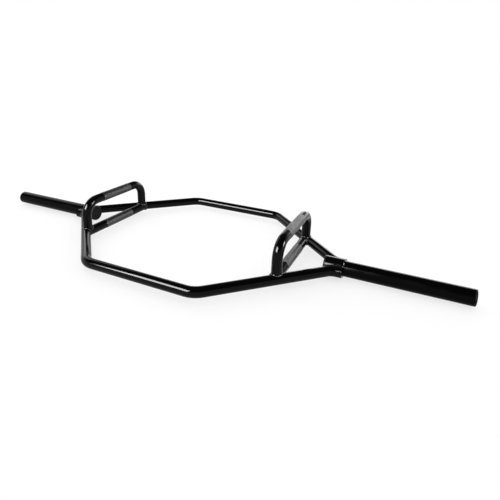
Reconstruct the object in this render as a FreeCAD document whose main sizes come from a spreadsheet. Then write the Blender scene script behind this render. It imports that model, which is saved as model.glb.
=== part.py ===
"""Hex trap bar: a bent-tube hexagon with plate sleeves, raised handles and low handles.

Millimetres.  X runs along the plate sleeves, Y from the front tube to the back tube, Z up.
The origin is on the floor below the middle of the hexagon, and the collars touch the floor.
The right half is modelled, and the left half is the same set of pieces turned half a turn about Z.
"""
import FreeCAD, Part
import os
import re
import Sketcher

# Driving sizes in millimetres and degrees
SIZES = {
    # Plate sleeve and its pressed-in end cap
    "sleeve_diameter": 50,
    "sleeve_wall": 6,
    "sleeve_load_length": 363,
    "sleeve_tip_chamfer": 1,
    "sleeve_root_step": 0.5,
    # Collar that joins the sleeve to the frame and stops the plates
    "collar_diameter": 60.3,
    "collar_length": 58,
    "collar_clearance": 0.1,
    "collar_rim_chamfer": 1.2,
    "root_weld_bevel": 3,
    # Bent frame tubes
    "frame_tube_diameter": 33.4,
    "frame_tube_wall": 4,
    "frame_width": 684,
    "side_length": 391,
    "diagonal_angle": 44.6,
    "corner_bend_radius": 64,
    "end_bend_radius": 40,
    "tube_end_offset": 33,
    "tube_end_run": 18,
    "end_plate_thickness": 3,
    "end_plate_clearance": 0.1,
    # Raised and low handles
    "handle_diameter": 33,
    "handle_wall": 4,
    "handle_spacing": 742,
    "handle_rise": 110,
    "handle_bend_radius": 52,
    "leg_inset": 12,
    "leg_foot_height": 8,
    "low_handle_inset": 3,
    "raised_grip_share": 0.667,
    "low_grip_share": 0.407,
    "knurl_height": 0.4,
    # Weld beads
    "handle_weld_size": 4,
    "frame_weld_size": 4.5,
    # Moulded caps: one in each sleeve tip and one over each collar's inner end
    "cap_flange_thickness": 6,
    "cap_flange_setback": 0.3,
    "cap_edge_radius": 2.5,
    "plug_length": 24,
    "plug_wall": 3,
    "plug_clearance": 0.1,
    "rib_count": 3,
    "rib_height": 1.2,
    "rib_width": 2.4,
    "rib_pitch": 6,
}

# Places that follow from the sizes
LAYOUT = {
    "axis_height": "collar_diameter / 2",
    "sleeve_radius": "sleeve_diameter / 2",
    "sleeve_root_radius": "sleeve_radius - sleeve_root_step",
    "sleeve_bore_radius": "sleeve_radius - sleeve_wall",
    "collar_radius": "collar_diameter / 2",
    "collar_bore_radius": "sleeve_root_radius + collar_clearance",
    "tube_radius": "frame_tube_diameter / 2",
    "tube_bore_radius": "tube_radius - frame_tube_wall",
    "handle_radius": "handle_diameter / 2",
    "handle_bore_radius": "handle_radius - handle_wall",
    "corner_x": "side_length / 2",
    "corner_y": "frame_width / 2",
    "diagonal_slope": "tan(diagonal_angle * 1 deg)",
    "elbow_x": "corner_x + (corner_y - tube_end_offset) / diagonal_slope",
    "diagonal_length": "(elbow_x - corner_x) / cos(diagonal_angle * 1 deg)",
    "collar_face_x": "elbow_x + end_bend_radius * tan(diagonal_angle * 0.5 deg) + tube_end_run",
    "collar_inner_x": "collar_face_x - collar_length",
    "sleeve_length": "collar_length + sleeve_load_length",
    "sleeve_tip_x": "collar_face_x + sleeve_load_length",
    "handle_x": "handle_spacing / 2",
    "handle_y": "corner_y - (handle_x - corner_x) * diagonal_slope - leg_inset",
    "low_handle_x": "handle_x - low_handle_inset",
    "low_handle_y": "corner_y - (low_handle_x - corner_x) * diagonal_slope",
    "raised_grip_length": "2 * (handle_y - handle_bend_radius) * raised_grip_share",
    "low_grip_length": "2 * low_handle_y * low_grip_share",
    "plug_radius": "sleeve_bore_radius - plug_clearance - rib_height",
}

Z_AXIS = FreeCAD.Vector(0, 0, 1)
FULL_TURN = 360
HALF_TURN = 180
SIDE_TURN = {"right": 0, "left": HALF_TURN}
POINT_NAMES = ("edge", "start", "end", "centre")
SKETCH_ORIGIN = (-1, 1)
EDGE_TOLERANCE = 0.01

doc = FreeCAD.newDocument("HexTrapBar")
SHEET_OF = {name: "Sizes." + name for name in SIZES}
SHEET_OF.update({name: "Layout." + name for name in LAYOUT})
sub_parts = []


def formula(text):
    """Put the sheet's name in front of each size that the text names."""
    return re.sub(r"[a-z_]{3,}", lambda word: SHEET_OF.get(word.group(), word.group()), text)


def fill_sheets():
    """Write the driving sizes as plain numbers and the layout as formulas on them."""
    sizes = doc.addObject("Spreadsheet::Sheet", "Sizes")
    for row, (name, number) in enumerate(SIZES.items(), 1):
        sizes.set(f"A{row}", name)
        sizes.set(f"B{row}", str(number))
        sizes.setAlias(f"B{row}", name)
    doc.recompute()
    layout = doc.addObject("Spreadsheet::Sheet", "Layout")
    for row, (name, text) in enumerate(LAYOUT.items(), 1):
        layout.setAlias(f"B{row}", name)
        layout.set(f"A{row}", name)
        layout.set(f"B{row}", "=" + formula(text))
    doc.recompute()


def value(text):
    """The number that a formula gives for the present sizes."""
    result = doc.Layout.evalExpression(formula(text))
    return float(getattr(result, "Value", result))


def bind(thing, name, text):
    """Tie one property to a formula."""
    thing.setExpression(name, formula(text))


def turn(thing, degrees):
    """Turn a piece about the vertical through the origin."""
    thing.Placement = FreeCAD.Placement(FreeCAD.Vector(), FreeCAD.Rotation(Z_AXIS, degrees))


def put_on_side(thing, side, x="0", extra_turn=0):
    """Lift a piece to the sleeve axis, turn it to its side and slide it along that side's X."""
    turn(thing, SIDE_TURN[side] + extra_turn)
    sign = "-" if SIDE_TURN[side] else ""
    bind(thing, "Placement.Base.x", f"{sign}({x})")
    bind(thing, "Placement.Base.z", "axis_height")


def keep(thing, label):
    """Name a finished piece and put it on the list of sub-parts."""
    thing.Label = label
    sub_parts.append(thing)
    return thing


# Sketch helpers

def new_sketch(body, name, role, offset="0"):
    """A sketch on one of the body's own origin planes, moved along the plane's normal."""
    sketch = body.newObject("Sketcher::SketchObject", name)
    plane = next(feature for feature in body.Origin.OriginFeatures if feature.Role == role)
    sketch.AttachmentSupport = (plane, [""])
    sketch.MapMode = "FlatFace"
    bind(sketch, "AttachmentOffset.Base.z", offset)
    return sketch


def point_number(name):
    """The sketcher's number for a line's start or end, or for a circle's centre."""
    return POINT_NAMES.index(name)


def pin(sketch, geometry, point, x, y):
    """Tie a point's two coordinates to formulas."""
    for kind, text in (("DistanceX", x), ("DistanceY", y)):
        rule = Sketcher.Constraint(kind, *SKETCH_ORIGIN, geometry, point, value(text))
        bind(sketch, f"Constraints[{sketch.addConstraint(rule)}]", text)


def set_radius(sketch, geometry, text):
    """Tie a circle's or an arc's radius to a formula."""
    rule = Sketcher.Constraint("Radius", geometry, value(text))
    bind(sketch, f"Constraints[{sketch.addConstraint(rule)}]", text)


def join_ends(sketch, line, next_line):
    """Make one line end where the next one starts."""
    ends = (line, point_number("end"), next_line, point_number("start"))
    sketch.addConstraint(Sketcher.Constraint("Coincident", *ends))


def draw_lines(sketch, corners, closed):
    """Straight lines from corner to corner, each corner tied to its formulas."""
    points = [FreeCAD.Vector(value(x), value(y), 0) for x, y in corners]
    ends = points[1:] + points[:1] if closed else points[1:]
    count = len(ends)
    for start, end in zip(points, ends):
        sketch.addGeometry(Part.LineSegment(start, end), False)
    for line in range(count):
        pin(sketch, line, point_number("start"), *corners[line])
        if line:
            join_ends(sketch, line - 1, line)
    if closed:
        join_ends(sketch, count - 1, 0)
    else:
        pin(sketch, count - 1, point_number("end"), *corners[-1])


def draw_bent_path(sketch, corners, radii):
    """A bender's centre line: straight runs with a fillet at each inner corner."""
    draw_lines(sketch, corners, closed=False)
    for corner, radius in enumerate(radii):
        first_new = sketch.GeometryCount
        sketch.fillet(corner, point_number("end"), value(radius), True, True)
        new = range(first_new, sketch.GeometryCount)
        set_radius(sketch, next(g for g in new if isinstance(sketch.Geometry[g], Part.ArcOfCircle)), radius)


def draw_circles(sketch, x, y, radii):
    """Circles about one centre: a ring section from two radii, a disc from one."""
    for radius in radii:
        centre = FreeCAD.Vector(value(x), value(y), 0)
        circle = sketch.addGeometry(Part.Circle(centre, Z_AXIS, value(radius)), False)
        set_radius(sketch, circle, radius)
        pin(sketch, circle, point_number("centre"), x, y)


# Feature helpers

def add_revolve(body, name, role, corners, offset="0", axis_y=None):
    """Turn a closed outline about the sketch's X axis, or about a line at axis_y beside it."""
    sketch = new_sketch(body, name + "_outline", role, offset)
    draw_lines(sketch, corners, closed=True)
    axis = "H_Axis"
    if axis_y:
        ends = [(corners[0][0], axis_y), (corners[1][0], axis_y)]
        points = [FreeCAD.Vector(value(x), value(y), 0) for x, y in ends]
        line = sketch.addGeometry(Part.LineSegment(*points), True)
        pin(sketch, line, point_number("start"), *ends[0])
        pin(sketch, line, point_number("end"), *ends[1])
        axis = "Axis0"
    revolve = body.newObject("PartDesign::Revolution", name)
    revolve.Profile = sketch
    revolve.ReferenceAxis = (sketch, [axis])
    revolve.Angle = FULL_TURN
    return revolve


def add_pipe(body, path_role, corners, bends, section_role, section_centre, radii,
             path_offset, section_offset):
    """Sweep a ring or a disc along a bent centre line."""
    path = new_sketch(body, "centre_line", path_role, path_offset)
    draw_bent_path(path, corners, bends)
    section = new_sketch(body, "section", section_role, section_offset)
    draw_circles(section, *section_centre, radii)
    pipe = body.newObject("PartDesign::AdditivePipe", "pipe")
    pipe.Profile = section
    pipe.Spine = (path, [])
    return pipe


def placement_formula(x, y, z, yaw, pitch):
    """A placement whose Z axis is tipped by pitch and then turned by yaw."""
    return (f"create(<<placement>>; create(<<vector>>; {x}; {y}; {z}); "
            f"create(<<rotation>>; {yaw}; {pitch}; 0))")


def shape_cylinder(cylinder, radius, length, place):
    """Tie a cylinder's radius, length and place to formulas."""
    bind(cylinder, "Radius", radius)
    bind(cylinder, "Height", length)
    bind(cylinder, "Placement", placement_formula(*place))
    return cylinder


def rod(name, radius, length, place):
    """A free cylinder for building weld beads and plates."""
    return shape_cylinder(doc.addObject("Part::Cylinder", name), radius, length, place)


def cope(body, name, radius, length, place):
    """Notch a body round another tube, and make sure that the notch takes something away."""
    doc.recompute()
    before = body.Shape.Volume
    shape_cylinder(body.newObject("PartDesign::SubtractiveCylinder", name), radius, length, place)
    doc.recompute()
    if body.Shape.Volume >= before:
        raise RuntimeError(f"{body.Name}: {name} cuts nothing")


def combine(kind, name, things):
    """A boolean of several objects."""
    result = doc.addObject("Part::" + kind, name)
    result.Shapes = things
    return result


def cut(name, base, tool):
    """One object less another."""
    result = doc.addObject("Part::Cut", name)
    result.Base = base
    result.Tool = tool
    return result


# Where the bar's tubes lie, as cylinder placements about the right half

ALONG_X = ("0", "90")
UPWARDS = ("0", "0")
DIAGONALS = {
    "front": ("corner_x", "-corner_y", "0", "diagonal_angle", "90"),
    "back": ("corner_x", "corner_y", "0", "-diagonal_angle", "90"),
}
LEG_Y = {"front": "-handle_y", "back": "handle_y"}
LOW_HANDLE_AXIS = ("low_handle_x", "-low_handle_y", "0", "90", "90")
LOW_HANDLE_LENGTH = "2 * low_handle_y"
COLLAR_AXIS = ("collar_inner_x", "0", "0", *ALONG_X)


# Sleeves, collars and caps

def make_sleeve(side):
    """Plain pipe for the plates: a chamfered tip, and a root turned down to pass through the collar."""
    body = doc.addObject("PartDesign::Body", side + "_sleeve_body")
    add_revolve(body, "pipe", "XZ_Plane", [
        ("0", "sleeve_bore_radius"),
        ("sleeve_length", "sleeve_bore_radius"),
        ("sleeve_length", "sleeve_radius - sleeve_tip_chamfer"),
        ("sleeve_length - sleeve_tip_chamfer", "sleeve_radius"),
        ("collar_length", "sleeve_radius"),
        ("collar_length", "sleeve_root_radius"),
        ("0", "sleeve_root_radius"),
    ])
    put_on_side(body, side, "collar_inner_x")
    return keep(body, side + "_sleeve")


def make_collar(side):
    """Short thick pipe over the sleeve's root, bevelled inside for the root weld."""
    body = doc.addObject("PartDesign::Body", side + "_collar_body")
    add_revolve(body, "pipe", "XZ_Plane", [
        ("root_weld_bevel", "collar_bore_radius"),
        ("collar_length", "collar_bore_radius"),
        ("collar_length", "collar_radius - collar_rim_chamfer"),
        ("collar_length - collar_rim_chamfer", "collar_radius"),
        ("0", "collar_radius"),
        ("0", "collar_bore_radius + root_weld_bevel"),
    ])
    put_on_side(body, side, "collar_inner_x")
    return keep(body, side + "_collar")


def make_root_weld(side):
    """Ring of weld metal that fills the bevel between collar and sleeve."""
    body = doc.addObject("PartDesign::Body", side + "_root_weld_body")
    add_revolve(body, "ring", "XZ_Plane", [
        ("0", "sleeve_root_radius"),
        ("root_weld_bevel", "sleeve_root_radius"),
        ("root_weld_bevel", "collar_bore_radius"),
        ("0", "collar_bore_radius + root_weld_bevel"),
    ])
    put_on_side(body, side, "collar_inner_x")
    return keep(body, side + "_collar_root_weld")


def make_cap(side, label, seat_x, cover_radius, extra_turn):
    """Moulded plug: a flange with a rounded rim, a hollow spigot and barbed ribs that grip the bore."""
    body = doc.addObject("PartDesign::Body", label + "_body")
    flange_radius = f"({cover_radius} - cap_flange_setback)"
    add_revolve(body, "plug", "XZ_Plane", [
        ("0", "0"),
        ("cap_flange_thickness", "0"),
        ("cap_flange_thickness", flange_radius),
        ("0", flange_radius),
        ("0", "plug_radius"),
        ("-plug_length", "plug_radius"),
        ("-plug_length", "plug_radius - plug_wall"),
        ("0", "plug_radius - plug_wall"),
    ])
    rib = add_revolve(body, "rib", "XZ_Plane", [
        ("-rib_pitch", "plug_radius - plug_wall / 2"),
        ("-rib_pitch", "plug_radius + rib_height"),
        ("-rib_pitch - rib_width", "plug_radius"),
        ("-rib_pitch - rib_width", "plug_radius - plug_wall / 2"),
    ])
    ribs = body.newObject("PartDesign::LinearPattern", "ribs")
    ribs.Originals = [rib]
    ribs.Direction = (rib.Profile[0], ["H_Axis"])
    ribs.Reversed = True
    bind(ribs, "Length", "rib_pitch * (rib_count - 1)")
    bind(ribs, "Occurrences", "rib_count")
    body.Tip = ribs
    doc.recompute()
    rim = FreeCAD.Vector(value("cap_flange_thickness"), 0, value(flange_radius))
    fillet = body.newObject("PartDesign::Fillet", "rounded_rim")
    fillet.Base = (ribs, [edge_through(ribs.Shape, rim)])
    bind(fillet, "Radius", "cap_edge_radius")
    put_on_side(body, side, seat_x, extra_turn)
    return keep(body, label)


def edge_through(shape, point):
    """The name of the edge that passes through a point."""
    probe = Part.Vertex(point)
    for number, edge in enumerate(shape.Edges, 1):
        if edge.distToShape(probe)[0] < EDGE_TOLERANCE:
            return f"Edge{number}"
    raise RuntimeError(f"no edge passes through {point}")


# Frame tubes and what closes their ends

FRAME_PATH = [
    ("-collar_face_x", "-tube_end_offset"),
    ("-elbow_x", "-tube_end_offset"),
    ("-corner_x", "-corner_y"),
    ("corner_x", "-corner_y"),
    ("elbow_x", "-tube_end_offset"),
    ("collar_face_x", "-tube_end_offset"),
]
FRAME_BENDS = ["end_bend_radius", "corner_bend_radius", "corner_bend_radius", "end_bend_radius"]


def frame_pipe(name, radii):
    """A body swept along the front half of the hexagon."""
    body = doc.addObject("PartDesign::Body", name)
    add_pipe(body, "XY_Plane", FRAME_PATH, FRAME_BENDS, "YZ_Plane", ("-tube_end_offset", "0"), radii,
             path_offset="0", section_offset="-collar_face_x")
    return body


def make_frame_tube(label, side):
    """Half of the hexagon in one bent tube, notched round both collars."""
    body = frame_pipe(label + "_body", ["tube_radius", "tube_bore_radius"])
    cope(body, "collar_notch", "collar_radius", "2 * collar_face_x", ("-collar_face_x", "0", "0", *ALONG_X))
    put_on_side(body, side)
    return keep(body, label)


def make_end_plates(side):
    """Plates that close the tube mouths beside the collar's face."""
    discs = []
    for name, sign in (("front", "-"), ("back", "")):
        place = ("collar_face_x - end_plate_thickness", f"{sign}tube_end_offset", "0", *ALONG_X)
        radius = "tube_bore_radius - end_plate_clearance"
        discs.append(rod(f"{side}_{name}_disc", radius, "end_plate_thickness", place))
    collar = rod(side + "_plate_notch", "collar_radius + end_plate_clearance", "collar_length", COLLAR_AXIS)
    plates = cut(side + "_plates", combine("MultiFuse", side + "_discs", discs), collar)
    put_on_side(plates, side)
    return keep(plates, side + "_tube_end_plates")


# Handles

def add_grip(body, role, offset, centre_y, length):
    """Raised band where the grip is knurled."""
    inside = f"{centre_y} + handle_radius - handle_wall / 2"
    outside = f"{centre_y} + handle_radius + knurl_height"
    surface = f"{centre_y} + handle_radius"
    add_revolve(body, "grip", role, [
        (f"-{length} / 2", inside),
        (f"{length} / 2", inside),
        (f"{length} / 2", surface),
        (f"{length} / 2 - knurl_height", outside),
        (f"-{length} / 2 + knurl_height", outside),
        (f"-{length} / 2", surface),
    ], offset, centre_y)


def make_raised_handle(side):
    """Bent tube standing on both diagonals, its feet saddled over them and round the low handle."""
    body = doc.addObject("PartDesign::Body", side + "_raised_handle_body")
    path = [
        ("-handle_y", "leg_foot_height"),
        ("-handle_y", "handle_rise"),
        ("handle_y", "handle_rise"),
        ("handle_y", "leg_foot_height"),
    ]
    add_pipe(body, "YZ_Plane", path, ["handle_bend_radius"] * 2, "XY_Plane", ("handle_x", "-handle_y"),
             ["handle_radius", "handle_bore_radius"], path_offset="handle_x", section_offset="leg_foot_height")
    add_grip(body, "YZ_Plane", "handle_x", "handle_rise", "raised_grip_length")
    for name, place in DIAGONALS.items():
        cope(body, name + "_saddle", "tube_radius", "diagonal_length", place)
    cope(body, "low_handle_notch", "handle_radius", LOW_HANDLE_LENGTH, LOW_HANDLE_AXIS)
    put_on_side(body, side)
    return keep(body, side + "_raised_handle")


def make_low_handle(side):
    """Straight tube between the diagonals, fish-mouthed at both ends."""
    body = doc.addObject("PartDesign::Body", side + "_low_handle_body")
    section = new_sketch(body, "section", "XZ_Plane")
    draw_circles(section, "low_handle_x", "0", ["handle_radius", "handle_bore_radius"])
    bar = body.newObject("PartDesign::Pad", "bar")
    bar.Profile = section
    bar.Midplane = True
    bind(bar, "Length", LOW_HANDLE_LENGTH)
    add_grip(body, "YZ_Plane", "low_handle_x", "0", "low_grip_length")
    for name, place in DIAGONALS.items():
        cope(body, name + "_fish_mouth", "tube_radius", "diagonal_length", place)
    put_on_side(body, side)
    return keep(body, side + "_low_handle")


# Weld beads

def make_frame_welds(side):
    """Beads in the valleys where both frame tubes lie against the collar."""
    grown = []
    plain = [rod(side + "_weld_collar_core", "collar_radius", "collar_length", COLLAR_AXIS)]
    for end, degrees in (("front", 0), ("back", HALF_TURN)):
        grown.append(frame_pipe(f"{side}_{end}_bead_pipe", ["tube_radius + frame_weld_size"]))
        plain.append(frame_pipe(f"{side}_{end}_core_pipe", ["tube_radius"]))
        turn(grown[-1], degrees)
        turn(plain[-1], degrees)
    around = rod(side + "_weld_collar", "collar_radius + frame_weld_size", "collar_length", COLLAR_AXIS)
    pipes = combine("MultiFuse", side + "_bead_pipes", grown)
    near = combine("MultiCommon", side + "_near_collar", [pipes, around])
    beads = cut(side + "_frame_beads", near, combine("MultiFuse", side + "_frame_cores", plain))
    put_on_side(beads, side)
    return keep(beads, side + "_frame_welds")


def meeting_tubes(name, end, growth):
    """The diagonal, the low handle and the leg that meet at one end, plain or grown by a bead's size."""
    foot = ("handle_x", LEG_Y[end], f"leg_foot_height - {growth}", *UPWARDS)
    return {
        "diagonal": rod(name + "_diagonal", f"tube_radius + {growth}", "diagonal_length", DIAGONALS[end]),
        "low": rod(name + "_low", f"handle_radius + {growth}", LOW_HANDLE_LENGTH, LOW_HANDLE_AXIS),
        "leg": rod(name + "_leg", f"handle_radius + {growth}", "handle_rise", foot),
    }


def bead(name, near, cores):
    """What lies inside all the grown tubes and outside the cores."""
    inside = combine("MultiCommon", name + "_near", near)
    return cut(name, inside, combine("MultiFuse", name + "_cores", cores))


def make_handle_welds(side):
    """Beads round the raised handle's feet, and round the low handle's ends up to those."""
    foot_beads = []
    low_beads = []
    for end in DIAGONALS:
        name = f"{side}_{end}"
        plain = meeting_tubes(name + "_plain", end, "0")
        grown = meeting_tubes(name + "_grown", end, "handle_weld_size")
        ground = combine("MultiFuse", name + "_ground", [grown["diagonal"], grown["low"]])
        foot_beads.append(bead(name + "_foot_bead", [grown["leg"], ground], list(plain.values())))
        cores = [plain["diagonal"], plain["low"], grown["leg"]]
        low_beads.append(bead(name + "_low_bead", [grown["low"], grown["diagonal"]], cores))
    for label, beads in (("_raised_handle_welds", foot_beads), ("_low_handle_welds", low_beads)):
        welds = combine("MultiFuse", side + label + "_beads", beads)
        put_on_side(welds, side)
        keep(welds, side + label)


def check_and_export():
    """Stop on any failed object or bad solid, then write one file per sub-part."""
    doc.recompute()
    for thing in doc.Objects:
        if "Invalid" in thing.State or "Error" in thing.State:
            raise RuntimeError(f"{thing.Label}: {thing.State}")
    for piece in sub_parts:
        if piece.Shape.isNull() or not piece.Shape.isValid() or not piece.Shape.Solids:
            raise RuntimeError(f"{piece.Label}: no valid solid")
    os.makedirs("parts", exist_ok=True)
    for piece in sub_parts:
        piece.Shape.exportStep(f"parts/{piece.Label}.step")
        box = piece.Shape.BoundBox
        print(f"{piece.Label}: {len(piece.Shape.Solids)} solids, {piece.Shape.Volume:.0f} mm3, "
              f"{box.XLength:.1f} x {box.YLength:.1f} x {box.ZLength:.1f} mm")


def build():
    """Make every piece of the bar."""
    fill_sheets()
    make_frame_tube("front_frame_tube", "right")
    make_frame_tube("back_frame_tube", "left")
    for side in SIDE_TURN:
        make_sleeve(side)
        make_collar(side)
        make_root_weld(side)
        make_cap(side, side + "_sleeve_cap", "sleeve_tip_x", "sleeve_radius", extra_turn=0)
        make_cap(side, side + "_inner_cap", "collar_inner_x", "collar_radius", extra_turn=HALF_TURN)
        make_end_plates(side)
        make_raised_handle(side)
        make_low_handle(side)
        make_frame_welds(side)
        make_handle_welds(side)
    check_and_export()


build()
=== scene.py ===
"""Looks for the hex trap bar, built round its packed CAD frame.

The frame tubes, sleeves and collars keep their CAD shapes and get painted finishes.  The handles, their
knurled grips, the weld beads and the moulded caps are modelled here, because their small forms are finer
than the solids.  Metres, in the CAD frame: X along the sleeves, Y from the front tube to the back one, Z up.
"""
import math
import random

import bmesh
import bpy
from bpy.props import FloatProperty, FloatVectorProperty, IntProperty, PointerProperty
from mathutils import Matrix, Vector


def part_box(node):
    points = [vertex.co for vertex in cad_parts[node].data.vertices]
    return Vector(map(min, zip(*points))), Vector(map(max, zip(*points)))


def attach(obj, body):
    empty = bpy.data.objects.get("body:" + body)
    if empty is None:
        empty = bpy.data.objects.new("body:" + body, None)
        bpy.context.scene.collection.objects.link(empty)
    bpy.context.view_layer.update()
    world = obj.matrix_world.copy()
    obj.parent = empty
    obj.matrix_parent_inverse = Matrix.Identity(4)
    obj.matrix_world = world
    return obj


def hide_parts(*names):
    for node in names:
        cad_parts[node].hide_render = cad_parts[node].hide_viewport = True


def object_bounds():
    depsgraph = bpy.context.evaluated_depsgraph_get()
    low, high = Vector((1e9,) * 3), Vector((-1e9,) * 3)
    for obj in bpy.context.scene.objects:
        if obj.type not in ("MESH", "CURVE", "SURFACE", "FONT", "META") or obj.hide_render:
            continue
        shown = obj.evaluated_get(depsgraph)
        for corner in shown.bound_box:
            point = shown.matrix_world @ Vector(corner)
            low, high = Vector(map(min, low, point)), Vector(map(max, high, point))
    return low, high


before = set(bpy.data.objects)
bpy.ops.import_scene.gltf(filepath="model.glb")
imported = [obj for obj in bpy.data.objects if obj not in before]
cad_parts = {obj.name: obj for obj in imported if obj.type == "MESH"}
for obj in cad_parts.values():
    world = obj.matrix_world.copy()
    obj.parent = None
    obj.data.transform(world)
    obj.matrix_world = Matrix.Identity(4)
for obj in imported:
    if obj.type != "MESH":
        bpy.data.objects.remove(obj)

bl_info = {
    "name": "Hex trap bar looks",
    "version": (1, 0, 0),
    "blender": (4, 5, 0),
    "location": "View3D > Sidebar > Trap bar",
    "description": "Paint, knurling, weld beads, moulded caps and a plain studio for a hex trap bar",
    "category": "Object",
}

BODY = "root"

# Sides of the bar, and the sign of Y at its front and at its back
SIDES = ("right", "left")
ENDS = (-1, 1)

# Sizes and places read from the frame
CAD_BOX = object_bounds()


def middle(node):
    """The middle of a CAD node's box."""
    low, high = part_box(node)
    return (low + high) / 2


def half_size(node):
    """Half of a CAD node's box."""
    low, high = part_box(node)
    return (high - low) / 2


AXIS_HEIGHT = middle("right_collar").z
COLLAR_RADIUS = half_size("right_collar").z
COLLAR_FACE_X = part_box("right_collar")[1].x
TUBE_RADIUS = half_size("front_frame_tube").z
CORNER_Y = -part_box("front_frame_tube")[0].y - TUBE_RADIUS
CREST_RADIUS = half_size("right_low_handle").z
HANDLE_X = middle("right_raised_handle").x
LEG_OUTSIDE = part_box("right_raised_handle")[1].y
LOW_HANDLE_X = middle("right_low_handle").x
GRIP_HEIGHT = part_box("right_raised_handle")[1].z - CREST_RADIUS
CAP_SEATS = {
    "sleeve_cap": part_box("right_sleeve")[1].x,
    "inner_cap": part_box("right_collar")[0].x,
}

# How far a cap's plug is set in from the sleeve's outside
PLUG_INSET = 0.0075

# The knurling's place among a handle's finishes
KNURL_SLOT = 1

# How finely round forms are divided
BEND_STEPS = 24
SEAM_STEPS = 144
BEAD_SEGMENTS = 12
BEAD_STEP = 0.0009
LATHE_STEPS = 96
BEVEL_SEGMENTS = 5

# Angles, and how near two places count as one
QUARTER_TURN = math.pi / 2
FULL_TURN = 2 * math.pi
SHARP_ANGLE = math.radians(32)
MERGE_DISTANCE = 1e-6
RING_TOLERANCE = 1e-5

# How a bead thins towards an open end, and how its rings vary
BEAD_TAPER = 0.006
BEAD_TIP = 0.3
BEAD_UNEVENNESS = 0.03
BEAD_SEED = 7

# How strongly each finish reflects
ENAMEL_SHINE = 0.1
SLEEVE_SHINE = 0.04
KNURL_SHINE = 0.45
WELD_SHINE = 0.3
PLASTIC_SHINE = 0.1

# Heights of the enamel's bumps, and the shares between which its roughness varies
PEEL_HEIGHT = 0.0004
SCUFF_HEIGHT = 0.0001
ROUGHNESS_SHARES = (0.8, 1.3)

# Height and strength of the bumps on weld metal and plastic
LUMP_BUMP = (0.0006, 0.5)
SPECK_BUMP = (0.0002, 0.4)
GRAIN_BUMP = (0.0001, 0.5)

# Stage: the floor's reach, and where the floor and the wall fade
FLOOR_REACH = 20
FLOOR_FADE = (1.4, 4.0)
WALL_FADE = (0.34, 0.53)

# Lamps: name, place, size, radiance, and whether each lights the bar or only shows in its gloss
SOFTBOXES = [
    ("front", (-1.68, -3.52, 3.0), (3.1, 2.0), 68, False),
    ("right", (3.2, 0.9, 1.3), (0.9, 0.9), 55, False),
    ("back", (0.5, 4.5, 0.88), (3.8, 1.65), 4.2, True),
    ("left_back", (-2.5, 4.4, 0.8), (2.2, 1.4), 0.9, True),
    ("left", (-3.5, 1.45, 2.2), (2.28, 2.0), 2.2, True),
]


class TubeSettings(bpy.types.PropertyGroup):
    """Lines that the frame tubes follow, which the weld beads share."""
    side_length: FloatProperty(
        name="Side length", description="Long side of the hexagon, from corner to corner",
        default=0.391, unit="LENGTH")
    diagonal_angle: FloatProperty(
        name="Diagonal angle", description="Angle between the sleeves and the diagonal runs",
        default=math.radians(44.6), subtype="ANGLE")
    end_bend_radius: FloatProperty(
        name="End bend radius", description="Centre-line radius where a tube turns along its collar",
        default=0.040, unit="LENGTH")
    end_offset: FloatProperty(
        name="End offset", description="From the sleeve axis to the tube's centre line beside the collar",
        default=0.033, unit="LENGTH")
    end_run: FloatProperty(
        name="End run", description="Straight run of the tube beside the collar",
        default=0.018, unit="LENGTH")


class HandleSettings(bpy.types.PropertyGroup):
    """Bars and knurling."""
    bend_radius: FloatProperty(
        name="Bend radius", description="Centre-line radius of the raised handles' bends",
        default=0.052, unit="LENGTH")
    foot_height: FloatProperty(
        name="Foot height", description="How far above the frame's middle plane a leg's hidden end stands",
        default=0.008, unit="LENGTH")
    grip_length: FloatProperty(
        name="Grip length", description="Length of the knurled stretch", default=0.152, unit="LENGTH")
    knurl_height: FloatProperty(
        name="Knurl height", description="From the bar's surface to the diamonds' crests",
        default=0.0004, unit="LENGTH", precision=5)
    knurl_floor: FloatProperty(
        name="Knurl floor", description="How far the grooves' floors stand off the bar",
        default=0.00027, unit="LENGTH", precision=5)
    knurl_count: IntProperty(
        name="Half diamonds round", description="Half diamonds round the grip, an even number", default=104)


class WeldSettings(bpy.types.PropertyGroup):
    """Beads laid in the joints."""
    handle_bead: FloatProperty(
        name="Handle bead", description="Radius of the beads at the handles", default=0.0034, unit="LENGTH")
    frame_bead: FloatProperty(
        name="Frame bead", description="Radius of the beads at the collars", default=0.0040, unit="LENGTH")
    ripple_pitch: FloatProperty(
        name="Ripple pitch", description="Distance from one ripple to the next",
        default=0.0034, unit="LENGTH")
    ripple_depth: FloatProperty(
        name="Ripple depth", description="Share of the bead's radius that a ripple rises", default=0.22)


class CapSettings(bpy.types.PropertyGroup):
    """Moulded caps."""
    rim_radius: FloatProperty(
        name="Rim rounding", description="Rounding of the flange's outer edge", default=0.0024, unit="LENGTH")
    edge_radius: FloatProperty(
        name="Edge rounding", description="Rounding of the face's small steps", default=0.0005, unit="LENGTH")
    dish_depth: FloatProperty(
        name="Dish depth", description="How far the middle of the face is sunk",
        default=0.0012, unit="LENGTH")
    dish_share: FloatProperty(
        name="Dish share", description="The dish's radius as a share of the flange's", default=0.72)


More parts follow.
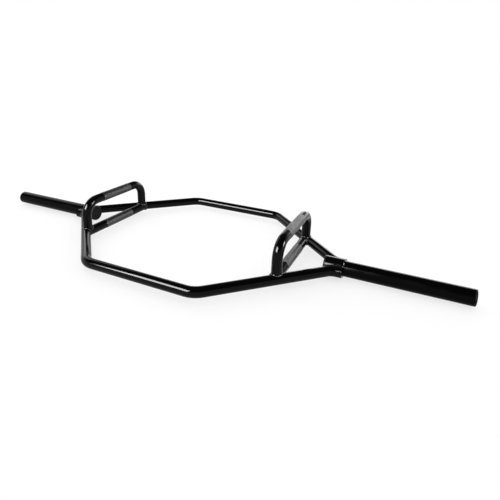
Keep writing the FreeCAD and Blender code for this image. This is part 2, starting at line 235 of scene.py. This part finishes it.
class FinishSettings(bpy.types.PropertyGroup):
    """Colours of the finishes."""
    paint: FloatVectorProperty(
        name="Paint", description="Colour of the black enamel",
        default=(0.0014, 0.0014, 0.0015), size=3, subtype="COLOR")
    paint_haze: FloatVectorProperty(
        name="Paint haze", description="Colour where the enamel is a little dusty",
        default=(0.004, 0.004, 0.0043), size=3, subtype="COLOR")
    crest: FloatVectorProperty(
        name="Knurl crest", description="Colour of the rubbed crests of the knurling",
        default=(0.02, 0.02, 0.021), size=3, subtype="COLOR")
    plastic: FloatVectorProperty(
        name="Plastic", description="Colour of the moulded caps",
        default=(0.0035, 0.0035, 0.0037), size=3, subtype="COLOR")
    plastic_scuff: FloatVectorProperty(
        name="Plastic scuff", description="Colour of the caps' lighter grain",
        default=(0.008, 0.008, 0.0085), size=3, subtype="COLOR")


class StageSettings(bpy.types.PropertyGroup):
    """Camera, floor and light."""
    camera_place: FloatVectorProperty(
        name="Camera place", description="Where the camera stands",
        default=(0.70555, -1.17066, 0.63240), size=3, subtype="TRANSLATION", unit="LENGTH")
    camera_yaw: FloatProperty(
        name="Camera yaw", description="Turn of the view from +Y towards +X",
        default=math.radians(-24.1442), subtype="ANGLE")
    camera_pitch: FloatProperty(
        name="Camera pitch", description="Tilt of the view below the horizon",
        default=math.radians(17.7611), subtype="ANGLE")
    camera_roll: FloatProperty(
        name="Camera roll", description="Turn of the picture about the view",
        default=math.radians(1.7574), subtype="ANGLE")
    lens: FloatProperty(
        name="Lens", description="Focal length on a 36 mm wide sensor", default=28.7215, unit="CAMERA")
    shift: FloatVectorProperty(
        name="Lens shift", description="Shift of the frame, in frame widths",
        default=(0.0157, -0.1128), size=2)
    floor_colour: FloatVectorProperty(
        name="Floor", description="Colour of the floor", default=(0.3, 0.3, 0.3), size=3, subtype="COLOR")
    ambient: FloatProperty(
        name="Ambient", description="Strength of the even light from all round", default=0.9)
    ceiling: FloatProperty(
        name="Ceiling", description="Strength of the ceiling where gloss shows it", default=0.06)
    floor_glow: FloatProperty(
        name="Floor glow", description="Extra white of the floor close to the bar", default=0.72)


SETTINGS = {
    "trap_bar_tubes": TubeSettings,
    "trap_bar_handles": HandleSettings,
    "trap_bar_welds": WeldSettings,
    "trap_bar_caps": CapSettings,
    "trap_bar_finish": FinishSettings,
    "trap_bar_stage": StageSettings,
}


# Finishes

def start_material(name):
    """A new material, its node tree and its shader."""
    material = bpy.data.materials.new(name)
    material.use_nodes = True
    tree = material.node_tree
    return material, tree, tree.nodes["Principled BSDF"]


def object_coordinates(tree, stretch=(1, 1, 1)):
    """The object's own coordinates, multiplied along each axis by stretch."""
    coordinates = tree.nodes.new("ShaderNodeTexCoord")
    mapping = tree.nodes.new("ShaderNodeMapping")
    mapping.inputs["Scale"].default_value = stretch
    tree.links.new(coordinates.outputs["Object"], mapping.inputs["Vector"])
    return mapping.outputs["Vector"]


def noise(tree, vector, scale, detail=2.0):
    """A cloudy pattern with about that many features to each unit of its vector."""
    texture = tree.nodes.new("ShaderNodeTexNoise")
    texture.inputs["Scale"].default_value = scale
    texture.inputs["Detail"].default_value = detail
    tree.links.new(vector, texture.inputs["Vector"])
    return texture.outputs["Fac"]


def spread(tree, value, low, high, start=0.35, end=0.65):
    """Map a stretch of a pattern's values, the middle one unless it is given, onto a range."""
    node = tree.nodes.new("ShaderNodeMapRange")
    node.inputs["From Min"].default_value = start
    node.inputs["From Max"].default_value = end
    node.inputs["To Min"].default_value = low
    node.inputs["To Max"].default_value = high
    tree.links.new(value, node.inputs["Value"])
    return node.outputs["Result"]


def blend_colours(tree, factor, first, second):
    """One colour fading into another by a factor."""
    node = tree.nodes.new("ShaderNodeMix")
    node.data_type = "RGBA"
    colours = [socket for socket in node.inputs if socket.type == "RGBA"]
    colours[0].default_value = (*first, 1)
    colours[1].default_value = (*second, 1)
    tree.links.new(factor, node.inputs["Factor"])
    return next(socket for socket in node.outputs if socket.type == "RGBA")


def combine(tree, operation, first, second):
    """Add or multiply two values, kept between 0 and 1."""
    node = tree.nodes.new("ShaderNodeMath")
    node.operation = operation
    node.use_clamp = True
    tree.links.new(first, node.inputs[0])
    tree.links.new(second, node.inputs[1])
    return node.outputs["Value"]


def add_bump(tree, shader, layers):
    """Stack bump layers of (pattern, height in metres, strength) on a shader's normal."""
    normal = None
    for pattern, height, strength in layers:
        bump = tree.nodes.new("ShaderNodeBump")
        bump.inputs["Distance"].default_value = height
        bump.inputs["Strength"].default_value = strength
        tree.links.new(pattern, bump.inputs["Height"])
        if normal:
            tree.links.new(normal, bump.inputs["Normal"])
        normal = bump.outputs["Normal"]
    tree.links.new(normal, shader.inputs["Normal"])


def set_finish(tree, shader, colour, roughness, shine):
    """Give a shader its colour, its roughness and how strongly it reflects."""
    tree.links.new(colour, shader.inputs["Base Color"])
    tree.links.new(roughness, shader.inputs["Roughness"])
    shader.inputs["Specular IOR Level"].default_value = shine


def make_enamel(name, finish, roughness, peel, shine=ENAMEL_SHINE, scuffs=0.0):
    """Black enamel: orange peel, a little dust, and scuffs along the bar where plates slide."""
    material, tree, shader = start_material(name)
    place = object_coordinates(tree)
    patches = noise(tree, place, scale=16, detail=3)
    dust = noise(tree, place, scale=420, detail=3)
    ripple = noise(tree, place, scale=190, detail=1)
    layers = [(ripple, PEEL_HEIGHT, peel)]
    if scuffs:
        along_bar = object_coordinates(tree, stretch=(5, 420, 420))
        layers.append((noise(tree, along_bar, scale=1, detail=3), SCUFF_HEIGHT, scuffs))
    haze = spread(tree, dust, low=0, high=1, start=0.48, end=0.8)
    colour = blend_colours(tree, haze, finish.paint, finish.paint_haze)
    least, most = (roughness * share for share in ROUGHNESS_SHARES)
    set_finish(tree, shader, colour, spread(tree, patches, low=least, high=most), shine)
    add_bump(tree, shader, layers)
    return material


def make_knurl_enamel(finish):
    """Enamel on the knurling, rubbed lighter on the crests."""
    material, tree, shader = start_material("knurled_enamel")
    place = object_coordinates(tree)
    crest = tree.nodes.new("ShaderNodeAttribute")
    crest.attribute_name = "crest"
    rubbed = spread(tree, noise(tree, place, scale=40, detail=3), low=0.3, high=1)
    wear = combine(tree, "MULTIPLY", crest.outputs["Fac"], rubbed)
    colour = blend_colours(tree, wear, finish.paint, finish.crest)
    patches = noise(tree, place, scale=30, detail=2)
    set_finish(tree, shader, colour, spread(tree, patches, low=0.28, high=0.38), KNURL_SHINE)
    return material


def make_weld_enamel(finish):
    """Enamel over weld metal: spatter specks and an uneven gloss."""
    material, tree, shader = start_material("welded_enamel")
    place = object_coordinates(tree)
    lumps = noise(tree, place, scale=330, detail=3)
    specks = noise(tree, place, scale=900, detail=2)
    haze = spread(tree, specks, low=0, high=1, start=0.55, end=0.8)
    colour = blend_colours(tree, haze, finish.paint, finish.paint_haze)
    set_finish(tree, shader, colour, spread(tree, lumps, low=0.12, high=0.3), WELD_SHINE)
    add_bump(tree, shader, [(lumps, *LUMP_BUMP), (specks, *SPECK_BUMP)])
    return material


def make_plastic(finish):
    """Moulded plastic with a fine grain."""
    material, tree, shader = start_material("moulded_plastic")
    place = object_coordinates(tree)
    grain = noise(tree, place, scale=1600, detail=2)
    patches = noise(tree, place, scale=60, detail=3)
    scuff = spread(tree, patches, low=0, high=1)
    colour = blend_colours(tree, scuff, finish.plastic, finish.plastic_scuff)
    set_finish(tree, shader, colour, spread(tree, patches, low=0.34, high=0.5), PLASTIC_SHINE)
    add_bump(tree, shader, [(grain, *GRAIN_BUMP)])
    return material


def paint_nodes(material, names):
    """Give CAD nodes a finish."""
    for name in names:
        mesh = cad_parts[name].data
        mesh.materials.clear()
        mesh.materials.append(material)


# Mesh helpers

def new_piece(name, bm, materials, nodes):
    """Turn a bmesh into a piece that rides on the bar and stands for the named CAD nodes.

    Edges between two finishes stay sharp, so that the shading of one does not run into the other.
    """
    bmesh.ops.remove_doubles(bm, verts=bm.verts, dist=MERGE_DISTANCE)
    bmesh.ops.recalc_face_normals(bm, faces=bm.faces)
    for face in bm.faces:
        face.smooth = face.material_index != KNURL_SLOT
    for edge in bm.edges:
        same_finish = len({face.material_index for face in edge.link_faces}) == 1
        edge.smooth = same_finish and edge.calc_face_angle(0) < SHARP_ANGLE
    mesh = bpy.data.meshes.new(name)
    bm.to_mesh(mesh)
    bm.free()
    for material in materials:
        mesh.materials.append(material)
    piece = bpy.data.objects.new(name, mesh)
    bpy.context.scene.collection.objects.link(piece)
    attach(piece, BODY)
    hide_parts(*nodes)


def turned_to_side(bm, side):
    """Turn a right-hand mesh to its side of the bar."""
    if side == "left":
        bmesh.ops.rotate(bm, verts=bm.verts, cent=(0, 0, 0), matrix=Matrix.Rotation(math.pi, 3, "Z"))


def ring(bm, radius, segments, place):
    """A circle of edges at a place."""
    made = bmesh.ops.create_circle(bm, cap_ends=False, radius=radius, segments=segments, matrix=place)
    return list({edge for vertex in made["verts"] for edge in vertex.link_edges})


def push(bm, edges, along):
    """Extrude a ring of edges by a vector and give the new ring."""
    made = bmesh.ops.extrude_edge_only(bm, edges=edges)["geom"]
    vertices = {item for item in made if isinstance(item, bmesh.types.BMVert)}
    bmesh.ops.translate(bm, verts=list(vertices), vec=along)
    return [item for item in made if isinstance(item, bmesh.types.BMEdge) and vertices.issuperset(item.verts)]


def bend(bm, edges, centre, axis, angle):
    """Sweep a ring of edges round a bend and give the last ring."""
    made = bmesh.ops.spin(bm, geom=edges, cent=centre, axis=axis, angle=angle, steps=BEND_STEPS,
                          use_merge=False, use_duplicate=False)
    return [item for item in made["geom_last"] if isinstance(item, bmesh.types.BMEdge)]


# Handles

def bar_radius(handles):
    """Radius of the handles' bars below the knurling."""
    return CREST_RADIUS - handles.knurl_height


def leg_y(handles):
    """Distance of the raised handles' legs from the sleeve axis."""
    return LEG_OUTSIDE - bar_radius(handles)


def diagonal_y(x, tubes):
    """Distance of a diagonal's centre line from the sleeve axis at x."""
    return CORNER_Y - (x - tubes.side_length / 2) * math.tan(tubes.diagonal_angle)


def knurl_rows(handles):
    """Rows of half diamonds along a grip, as long as they are wide."""
    return round(handles.grip_length * handles.knurl_count / (FULL_TURN * CREST_RADIUS))


class TRAPBAR_OT_handles(bpy.types.Operator):
    """Bend the raised handles, cut the low handles and roll diamond knurling onto their grips"""
    bl_idname = "trapbar.handles"
    bl_label = "Handles"

    def execute(self, context):
        scene = context.scene
        finish = scene.trap_bar_finish
        enamel = make_enamel("handle_enamel", finish, roughness=0.09, peel=0.08)
        materials = [enamel, make_knurl_enamel(finish)]
        bars = {
            "raised": (self.raised_bar, (HANDLE_X, GRIP_HEIGHT)),
            "low": (self.low_bar, (LOW_HANDLE_X, AXIS_HEIGHT)),
        }
        for side in SIDES:
            for name, (make_bar, axis) in bars.items():
                bm = bmesh.new()
                make_bar(bm, scene)
                self.knurl(bm, axis, scene.trap_bar_handles)
                turned_to_side(bm, side)
                new_piece(f"{side}_{name}_bar", bm, materials, [f"{side}_{name}_handle"])
        return {"FINISHED"}

    def raised_bar(self, bm, scene):
        """Leg, bend, top, bend and leg in one bar."""
        handles = scene.trap_bar_handles
        reach = leg_y(handles)
        foot = AXIS_HEIGHT + handles.foot_height
        bend_y = reach - handles.bend_radius
        bend_z = GRIP_HEIGHT - handles.bend_radius
        rise = Vector((0, 0, bend_z - foot))
        place = Matrix.Translation((HANDLE_X, -reach, foot))
        edges = ring(bm, bar_radius(handles), handles.knurl_count, place)
        edges = push(bm, edges, rise)
        edges = bend(bm, edges, (HANDLE_X, -bend_y, bend_z), (1, 0, 0), -QUARTER_TURN)
        edges = self.grip_run(bm, edges, 2 * bend_y, handles)
        edges = bend(bm, edges, (HANDLE_X, bend_y, bend_z), (1, 0, 0), -QUARTER_TURN)
        push(bm, edges, -rise)

    def low_bar(self, bm, scene):
        """Straight bar whose ends are hidden in the diagonals."""
        handles = scene.trap_bar_handles
        reach = diagonal_y(LOW_HANDLE_X, scene.trap_bar_tubes)
        lying = Matrix.Rotation(QUARTER_TURN, 4, "X")
        place = Matrix.Translation((LOW_HANDLE_X, -reach, AXIS_HEIGHT)) @ lying
        edges = ring(bm, bar_radius(handles), handles.knurl_count, place)
        self.grip_run(bm, edges, 2 * reach, handles)

    def grip_run(self, bm, edges, length, handles):
        """A straight run whose middle is divided into the knurling's rows."""
        rows = knurl_rows(handles)
        plain = Vector((0, (length - handles.grip_length) / 2, 0))
        edges = push(bm, edges, plain)
        for _ in range(rows):
            edges = push(bm, edges, Vector((0, handles.grip_length / rows, 0)))
        return push(bm, edges, plain)

    def knurl(self, bm, axis, handles):
        """Lift the grip's points to crests and grooves by turns, and close the bar's ends."""
        rows = knurl_rows(handles)
        crest = bm.verts.layers.float.new("crest")
        start = -handles.grip_length / 2
        grip = {vertex for vertex in bm.verts if abs(vertex.co.y) < MERGE_DISTANCE - start}
        for vertex in grip:
            row = round((vertex.co.y - start) * rows / handles.grip_length)
            if row in (0, rows):
                continue
            outward = Vector((vertex.co.x - axis[0], vertex.co.z - axis[1]))
            column = round(math.atan2(outward.y, outward.x) * handles.knurl_count / FULL_TURN)
            vertex[crest] = (row + column) % 2
            height = handles.knurl_height if vertex[crest] else handles.knurl_floor
            outward *= 1 + height / outward.length
            vertex.co.x, vertex.co.z = axis[0] + outward.x, axis[1] + outward.y
        faces = [face for face in bm.faces if grip.issuperset(face.verts)]
        for face in faces:
            face.material_index = KNURL_SLOT
        bmesh.ops.triangulate(bm, faces=faces, quad_method="SHORT_EDGE", ngon_method="BEAUTY")
        ends = [edge for edge in bm.edges if edge.is_boundary]
        bmesh.ops.holes_fill(bm, edges=ends, sides=handles.knurl_count)


# Welds

def lay_bead(bm, points, radius, welds, dice, closed):
    """Sweep a rippled round bead along points, thinner towards an open end."""
    rings = []
    count = len(points)
    for index, point in enumerate(points):
        after = points[(index + 1) % count] if closed or index < count - 1 else point
        before = points[index - 1] if closed or index else point
        ripple = index * BEAD_STEP / welds.ripple_pitch % 1
        swell = 1 + welds.ripple_depth * (ripple - 0.5) + dice.uniform(-BEAD_UNEVENNESS, BEAD_UNEVENNESS)
        if not closed:
            swell *= min(1, BEAD_TIP + min(index, count - 1 - index) * BEAD_STEP / BEAD_TAPER)
        turn = (after - before).to_track_quat("Z", "Y").to_matrix().to_4x4()
        rings.append(ring(bm, radius * swell, BEAD_SEGMENTS, Matrix.Translation(point) @ turn))
    pairs = list(zip(rings, rings[1:]))
    if closed:
        pairs.append((rings[-1], rings[0]))
    for first, second in pairs:
        bmesh.ops.bridge_loops(bm, edges=first + second)
    if not closed:
        for edges in (rings[0], rings[-1]):
            bmesh.ops.holes_fill(bm, edges=edges, sides=BEAD_SEGMENTS)


def even_points(points, closed):
    """Points a bead step apart along a line of points."""
    line = points + points[:1] if closed else points
    lengths = [(b - a).length for a, b in zip(line, line[1:])]
    count = round(sum(lengths) / BEAD_STEP)
    step = sum(lengths) / count
    result = []
    run, index = 0.0, 0
    for number in range(count if closed else count + 1):
        while index < len(lengths) - 1 and number * step > run + lengths[index]:
            run += lengths[index]
            index += 1
        result.append(line[index].lerp(line[index + 1], min(1, (number * step - run) / lengths[index])))
    return result


def tube_rise(offset, radius):
    """Height of a lying tube's surface at an offset from its axis, or a low number beside it."""
    return math.sqrt(radius * radius - offset * offset) if abs(offset) < radius else -radius


class TRAPBAR_OT_welds(bpy.types.Operator):
    """Lay rippled beads at the collars and the handles"""
    bl_idname = "trapbar.welds"
    bl_label = "Weld beads"

    def execute(self, context):
        scene = context.scene
        welds = scene.trap_bar_welds
        enamel = make_weld_enamel(scene.trap_bar_finish)
        dice = random.Random(BEAD_SEED)
        kinds = {
            "frame_welds": (self.frame_line, welds.frame_bead, False),
            "raised_handle_welds": (self.leg_line, welds.handle_bead, True),
            "low_handle_welds": (self.low_line, welds.handle_bead, True),
        }
        for side in SIDES:
            for name, (line, radius, closed) in kinds.items():
                bm = bmesh.new()
                for end in ENDS:
                    points = even_points(line(scene, end), closed)
                    lay_bead(bm, points, radius, welds, dice, closed)
                turned_to_side(bm, side)
                new_piece(f"{side}_{name}_beads", bm, [enamel], [f"{side}_{name}"])
        return {"FINISHED"}

    def leg_line(self, scene, end):
        """Round a raised handle's foot, over the diagonal and the low handle."""
        handles = scene.trap_bar_handles
        tubes = scene.trap_bar_tubes
        radius = bar_radius(handles)
        points = []
        for step in range(SEAM_STEPS):
            turn = FULL_TURN * step / SEAM_STEPS
            x = HANDLE_X + radius * math.cos(turn)
            y = leg_y(handles) + radius * math.sin(turn)
            inside = (diagonal_y(x, tubes) - y) * math.cos(tubes.diagonal_angle)
            rise = max(tube_rise(inside, TUBE_RADIUS), handles.foot_height)
            if inside > 0:
                rise = max(rise, tube_rise(x - LOW_HANDLE_X, radius))
            points.append(Vector((x, end * y, AXIS_HEIGHT + rise)))
        return points

    def low_line(self, scene, end):
        """Round a low handle's end, where it meets the diagonal's inner side."""
        radius = bar_radius(scene.trap_bar_handles)
        tubes = scene.trap_bar_tubes
        points = []
        for step in range(SEAM_STEPS):
            turn = FULL_TURN * step / SEAM_STEPS
            x = LOW_HANDLE_X + radius * math.cos(turn)
            z = radius * math.sin(turn)
            inner = tube_rise(z, TUBE_RADIUS) / math.cos(tubes.diagonal_angle)
            points.append(Vector((x, end * (diagonal_y(x, tubes) - inner), AXIS_HEIGHT + z)))
        return points

    def frame_line(self, scene, end):
        """Along the valley from the collar's face, round the back of the tube and along the lower valley."""
        tubes = scene.trap_bar_tubes
        bend_x = COLLAR_FACE_X - tubes.end_run
        bend_y = tubes.end_offset + tubes.end_bend_radius
        valley_y = (COLLAR_RADIUS ** 2 - TUBE_RADIUS ** 2 + tubes.end_offset ** 2) / (2 * tubes.end_offset)
        valley_turn = math.acos(valley_y / COLLAR_RADIUS)
        curve = []
        for step in range(SEAM_STEPS + 1):
            lean = math.sin(QUARTER_TURN * (1 - 2 * step / SEAM_STEPS)) * valley_turn
            y = COLLAR_RADIUS * math.cos(lean)
            z = COLLAR_RADIUS * math.sin(lean)
            reach = tubes.end_bend_radius + tube_rise(z, TUBE_RADIUS)
            back = math.sqrt(max(0.0, reach ** 2 - (bend_y - y) ** 2))
            curve.append(Vector((bend_x - back, end * y, AXIS_HEIGHT + z)))
        face = [Vector((COLLAR_FACE_X, point.y, point.z)) for point in (curve[0], curve[-1])]
        return [face[0], *curve, face[1]]


# Caps

class TRAPBAR_OT_caps(bpy.types.Operator):
    """Mould the caps on the sleeves' tips and the collars' inner ends"""
    bl_idname = "trapbar.caps"
    bl_label = "Moulded caps"

    def execute(self, context):
        caps = context.scene.trap_bar_caps
        plastic = make_plastic(context.scene.trap_bar_finish)
        for side in SIDES:
            for name, seat in CAP_SEATS.items():
                self.cap(side, name, seat, caps, plastic)
        return {"FINISHED"}

    def cap(self, side, name, seat, caps, plastic):
        """Turn the cap's outline about the sleeve axis, then round its edges."""
        low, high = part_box("right_" + name)
        face, root = (high.x, low.x) if abs(high.x - seat) < abs(low.x - seat) else (low.x, high.x)
        outward = math.copysign(1, face - seat)
        flange = half_size("right_" + name).z
        plug = half_size("right_sleeve").z - PLUG_INSET
        dish = flange * caps.dish_share
        outline = [
            (face - outward * caps.dish_depth, 0),
            (face - outward * caps.dish_depth, dish),
            (face, dish + caps.dish_depth),
            (face, flange),
            (seat, flange),
            (seat, plug),
            (root, plug),
            (root, 0),
        ]
        bm = bmesh.new()
        corners = [bm.verts.new((x, 0, AXIS_HEIGHT + radius)) for x, radius in outline]
        edges = [bm.edges.new(pair) for pair in zip(corners, corners[1:])]
        bmesh.ops.spin(bm, geom=corners + edges, cent=(0, 0, AXIS_HEIGHT), axis=(1, 0, 0), angle=FULL_TURN,
                       steps=LATHE_STEPS, use_merge=True, use_duplicate=False)
        bmesh.ops.remove_doubles(bm, verts=bm.verts, dist=MERGE_DISTANCE)
        bmesh.ops.recalc_face_normals(bm, faces=bm.faces)
        self.round_ring(bm, face, flange, caps.rim_radius)
        self.round_ring(bm, face, dish + caps.dish_depth, caps.edge_radius)
        turned_to_side(bm, side)
        new_piece(f"{side}_{name}_moulding", bm, [plastic], [f"{side}_{name}"])

    def round_ring(self, bm, x, radius, rounding):
        """Bevel the ring of edges at one place along the axis and one radius."""
        def on_ring(vertex):
            out = math.hypot(vertex.co.y, vertex.co.z - AXIS_HEIGHT)
            return abs(vertex.co.x - x) < RING_TOLERANCE and abs(out - radius) < RING_TOLERANCE
        edges = [edge for edge in bm.edges if all(on_ring(vertex) for vertex in edge.verts)]
        bmesh.ops.bevel(bm, geom=edges, offset=rounding, offset_type="OFFSET", affect="EDGES",
                        segments=BEVEL_SEGMENTS, profile=0.5, material=-1)


class TRAPBAR_OT_painted_tubes(bpy.types.Operator):
    """Paint the frame tubes, sleeves, collars and the pieces inside them"""
    bl_idname = "trapbar.painted_tubes"
    bl_label = "Painted tubes"

    def execute(self, context):
        finish = context.scene.trap_bar_finish
        frame_enamel = make_enamel("frame_enamel", finish, roughness=0.08, peel=0.08)
        collar_enamel = make_enamel("collar_enamel", finish, roughness=0.12, peel=0.06)
        sleeve_enamel = make_enamel(
            "sleeve_enamel", finish, roughness=0.16, peel=0.05, shine=SLEEVE_SHINE, scuffs=0.04)
        paint_nodes(frame_enamel, ["front_frame_tube", "back_frame_tube"])
        for side in SIDES:
            paint_nodes(frame_enamel, [side + "_tube_end_plates", side + "_collar_root_weld"])
            paint_nodes(collar_enamel, [side + "_collar"])
            paint_nodes(sleeve_enamel, [side + "_sleeve"])
        return {"FINISHED"}


# Stage

class TRAPBAR_OT_stage(bpy.types.Operator):
    """Set the camera, the floor and the lamps"""
    bl_idname = "trapbar.stage"
    bl_label = "Stage"

    def execute(self, context):
        stage = context.scene.trap_bar_stage
        context.scene.view_settings.view_transform = "Standard"
        self.camera(context.scene, stage)
        self.floor(stage)
        self.world(context.scene, stage)
        for name, place, size, radiance, lights_bar in SOFTBOXES:
            lamp = self.softbox(name, Vector(place), Vector((0, 0, AXIS_HEIGHT)), size, radiance)
            lamp.visible_diffuse = lights_bar
        return {"FINISHED"}

    def camera(self, scene, stage):
        """A camera with the photograph's view."""
        data = bpy.data.cameras.new("camera")
        data.lens = stage.lens
        data.shift_x, data.shift_y = stage.shift
        camera = bpy.data.objects.new("camera", data)
        turn = (Matrix.Rotation(-stage.camera_yaw, 4, "Z")
                @ Matrix.Rotation(QUARTER_TURN - stage.camera_pitch, 4, "X")
                @ Matrix.Rotation(stage.camera_roll, 4, "Z"))
        camera.matrix_world = Matrix.Translation(stage.camera_place) @ turn
        scene.collection.objects.link(camera)
        scene.camera = camera

    def seen_directly(self, tree):
        """1 for rays from the camera and those that gloss or glass sends on, and 0 for the rest."""
        path = tree.nodes.new("ShaderNodeLightPath")
        total = path.outputs["Is Camera Ray"]
        for kind in ("Is Glossy Ray", "Is Transmission Ray"):
            total = combine(tree, "ADD", total, path.outputs[kind])
        return total

    def floor(self, stage):
        """A wide pale floor below the collars that fades to white far from the bar."""
        material, tree, shader = start_material("floor")
        shader.inputs["Base Color"].default_value = (*stage.floor_colour, 1)
        shader.inputs["Roughness"].default_value = 1
        shader.inputs["Specular IOR Level"].default_value = 0
        shader.inputs["Emission Color"].default_value = (1, 1, 1, 1)
        distance = tree.nodes.new("ShaderNodeVectorMath")
        distance.operation = "LENGTH"
        tree.links.new(object_coordinates(tree), distance.inputs[0])
        glow = spread(tree, distance.outputs["Value"], stage.floor_glow, 1, *FLOOR_FADE)
        glow = combine(tree, "MULTIPLY", glow, self.seen_directly(tree))
        tree.links.new(glow, shader.inputs["Emission Strength"])
        bm = bmesh.new()
        bmesh.ops.create_grid(bm, x_segments=1, y_segments=1, size=FLOOR_REACH)
        bmesh.ops.translate(bm, verts=bm.verts, vec=(0, 0, CAD_BOX[0].z))
        mesh = bpy.data.meshes.new("floor")
        bm.to_mesh(mesh)
        bm.free()
        mesh.materials.append(material)
        floor = bpy.data.objects.new("floor", mesh)
        bpy.context.scene.collection.objects.link(floor)

    def world(self, scene, stage):
        """An even soft light, seen as a white wall all round below a dim ceiling."""
        world = bpy.data.worlds.new("studio")
        world.use_nodes = True
        tree = world.node_tree
        background = tree.nodes["Background"]
        background.inputs["Color"].default_value = (1, 1, 1, 1)
        height = tree.nodes.new("ShaderNodeSeparateXYZ")
        direction = tree.nodes.new("ShaderNodeTexCoord")
        tree.links.new(direction.outputs["Generated"], height.inputs["Vector"])
        wall = spread(tree, height.outputs["Z"], 1, stage.ceiling, *WALL_FADE)
        strength = tree.nodes.new("ShaderNodeMix")
        strength.inputs["A"].default_value = stage.ambient
        tree.links.new(self.seen_directly(tree), strength.inputs["Factor"])
        tree.links.new(wall, strength.inputs["B"])
        tree.links.new(strength.outputs["Result"], background.inputs["Strength"])
        scene.world = world

    def softbox(self, name, place, target, size, radiance):
        """An area lamp aimed at a point."""
        data = bpy.data.lights.new(name, "AREA")
        data.shape = "RECTANGLE"
        data.size, data.size_y = size
        data.energy = math.pi * size[0] * size[1] * radiance
        lamp = bpy.data.objects.new(name, data)
        turn = (target - place).to_track_quat("-Z", "Y").to_matrix().to_4x4()
        lamp.matrix_world = Matrix.Translation(place) @ turn
        lamp.visible_camera = False
        bpy.context.scene.collection.objects.link(lamp)
        return lamp


class TRAPBAR_PT_looks(bpy.types.Panel):
    """The bar's sizes, finishes and steps"""
    bl_idname = "TRAPBAR_PT_looks"
    bl_label = "Trap bar"
    bl_space_type = "VIEW_3D"
    bl_region_type = "UI"
    bl_category = "Trap bar"

    def draw(self, context):
        for name, group in SETTINGS.items():
            box = self.layout.box()
            box.label(text=group.__doc__)
            for prop in group.__annotations__:
                box.prop(getattr(context.scene, name), prop)
        for operator in OPERATORS:
            self.layout.operator(operator.bl_idname)


OPERATORS = [
    TRAPBAR_OT_painted_tubes,
    TRAPBAR_OT_handles,
    TRAPBAR_OT_welds,
    TRAPBAR_OT_caps,
    TRAPBAR_OT_stage,
]


def register():
    """Add the settings, the operators and the panel."""
    for name, group in SETTINGS.items():
        bpy.utils.register_class(group)
        setattr(bpy.types.Scene, name, PointerProperty(type=group))
    for item in (*OPERATORS, TRAPBAR_PT_looks):
        bpy.utils.register_class(item)


def unregister():
    """Take them away again."""
    for item in (TRAPBAR_PT_looks, *reversed(OPERATORS)):
        bpy.utils.unregister_class(item)
    for name, group in SETTINGS.items():
        delattr(bpy.types.Scene, name)
        bpy.utils.unregister_class(group)


def main():
    """Build the looks in order."""
    register()
    bpy.ops.trapbar.painted_tubes()
    bpy.ops.trapbar.handles()
    bpy.ops.trapbar.welds()
    bpy.ops.trapbar.caps()
    bpy.ops.trapbar.stage()


if __name__ == "__main__":
    main()
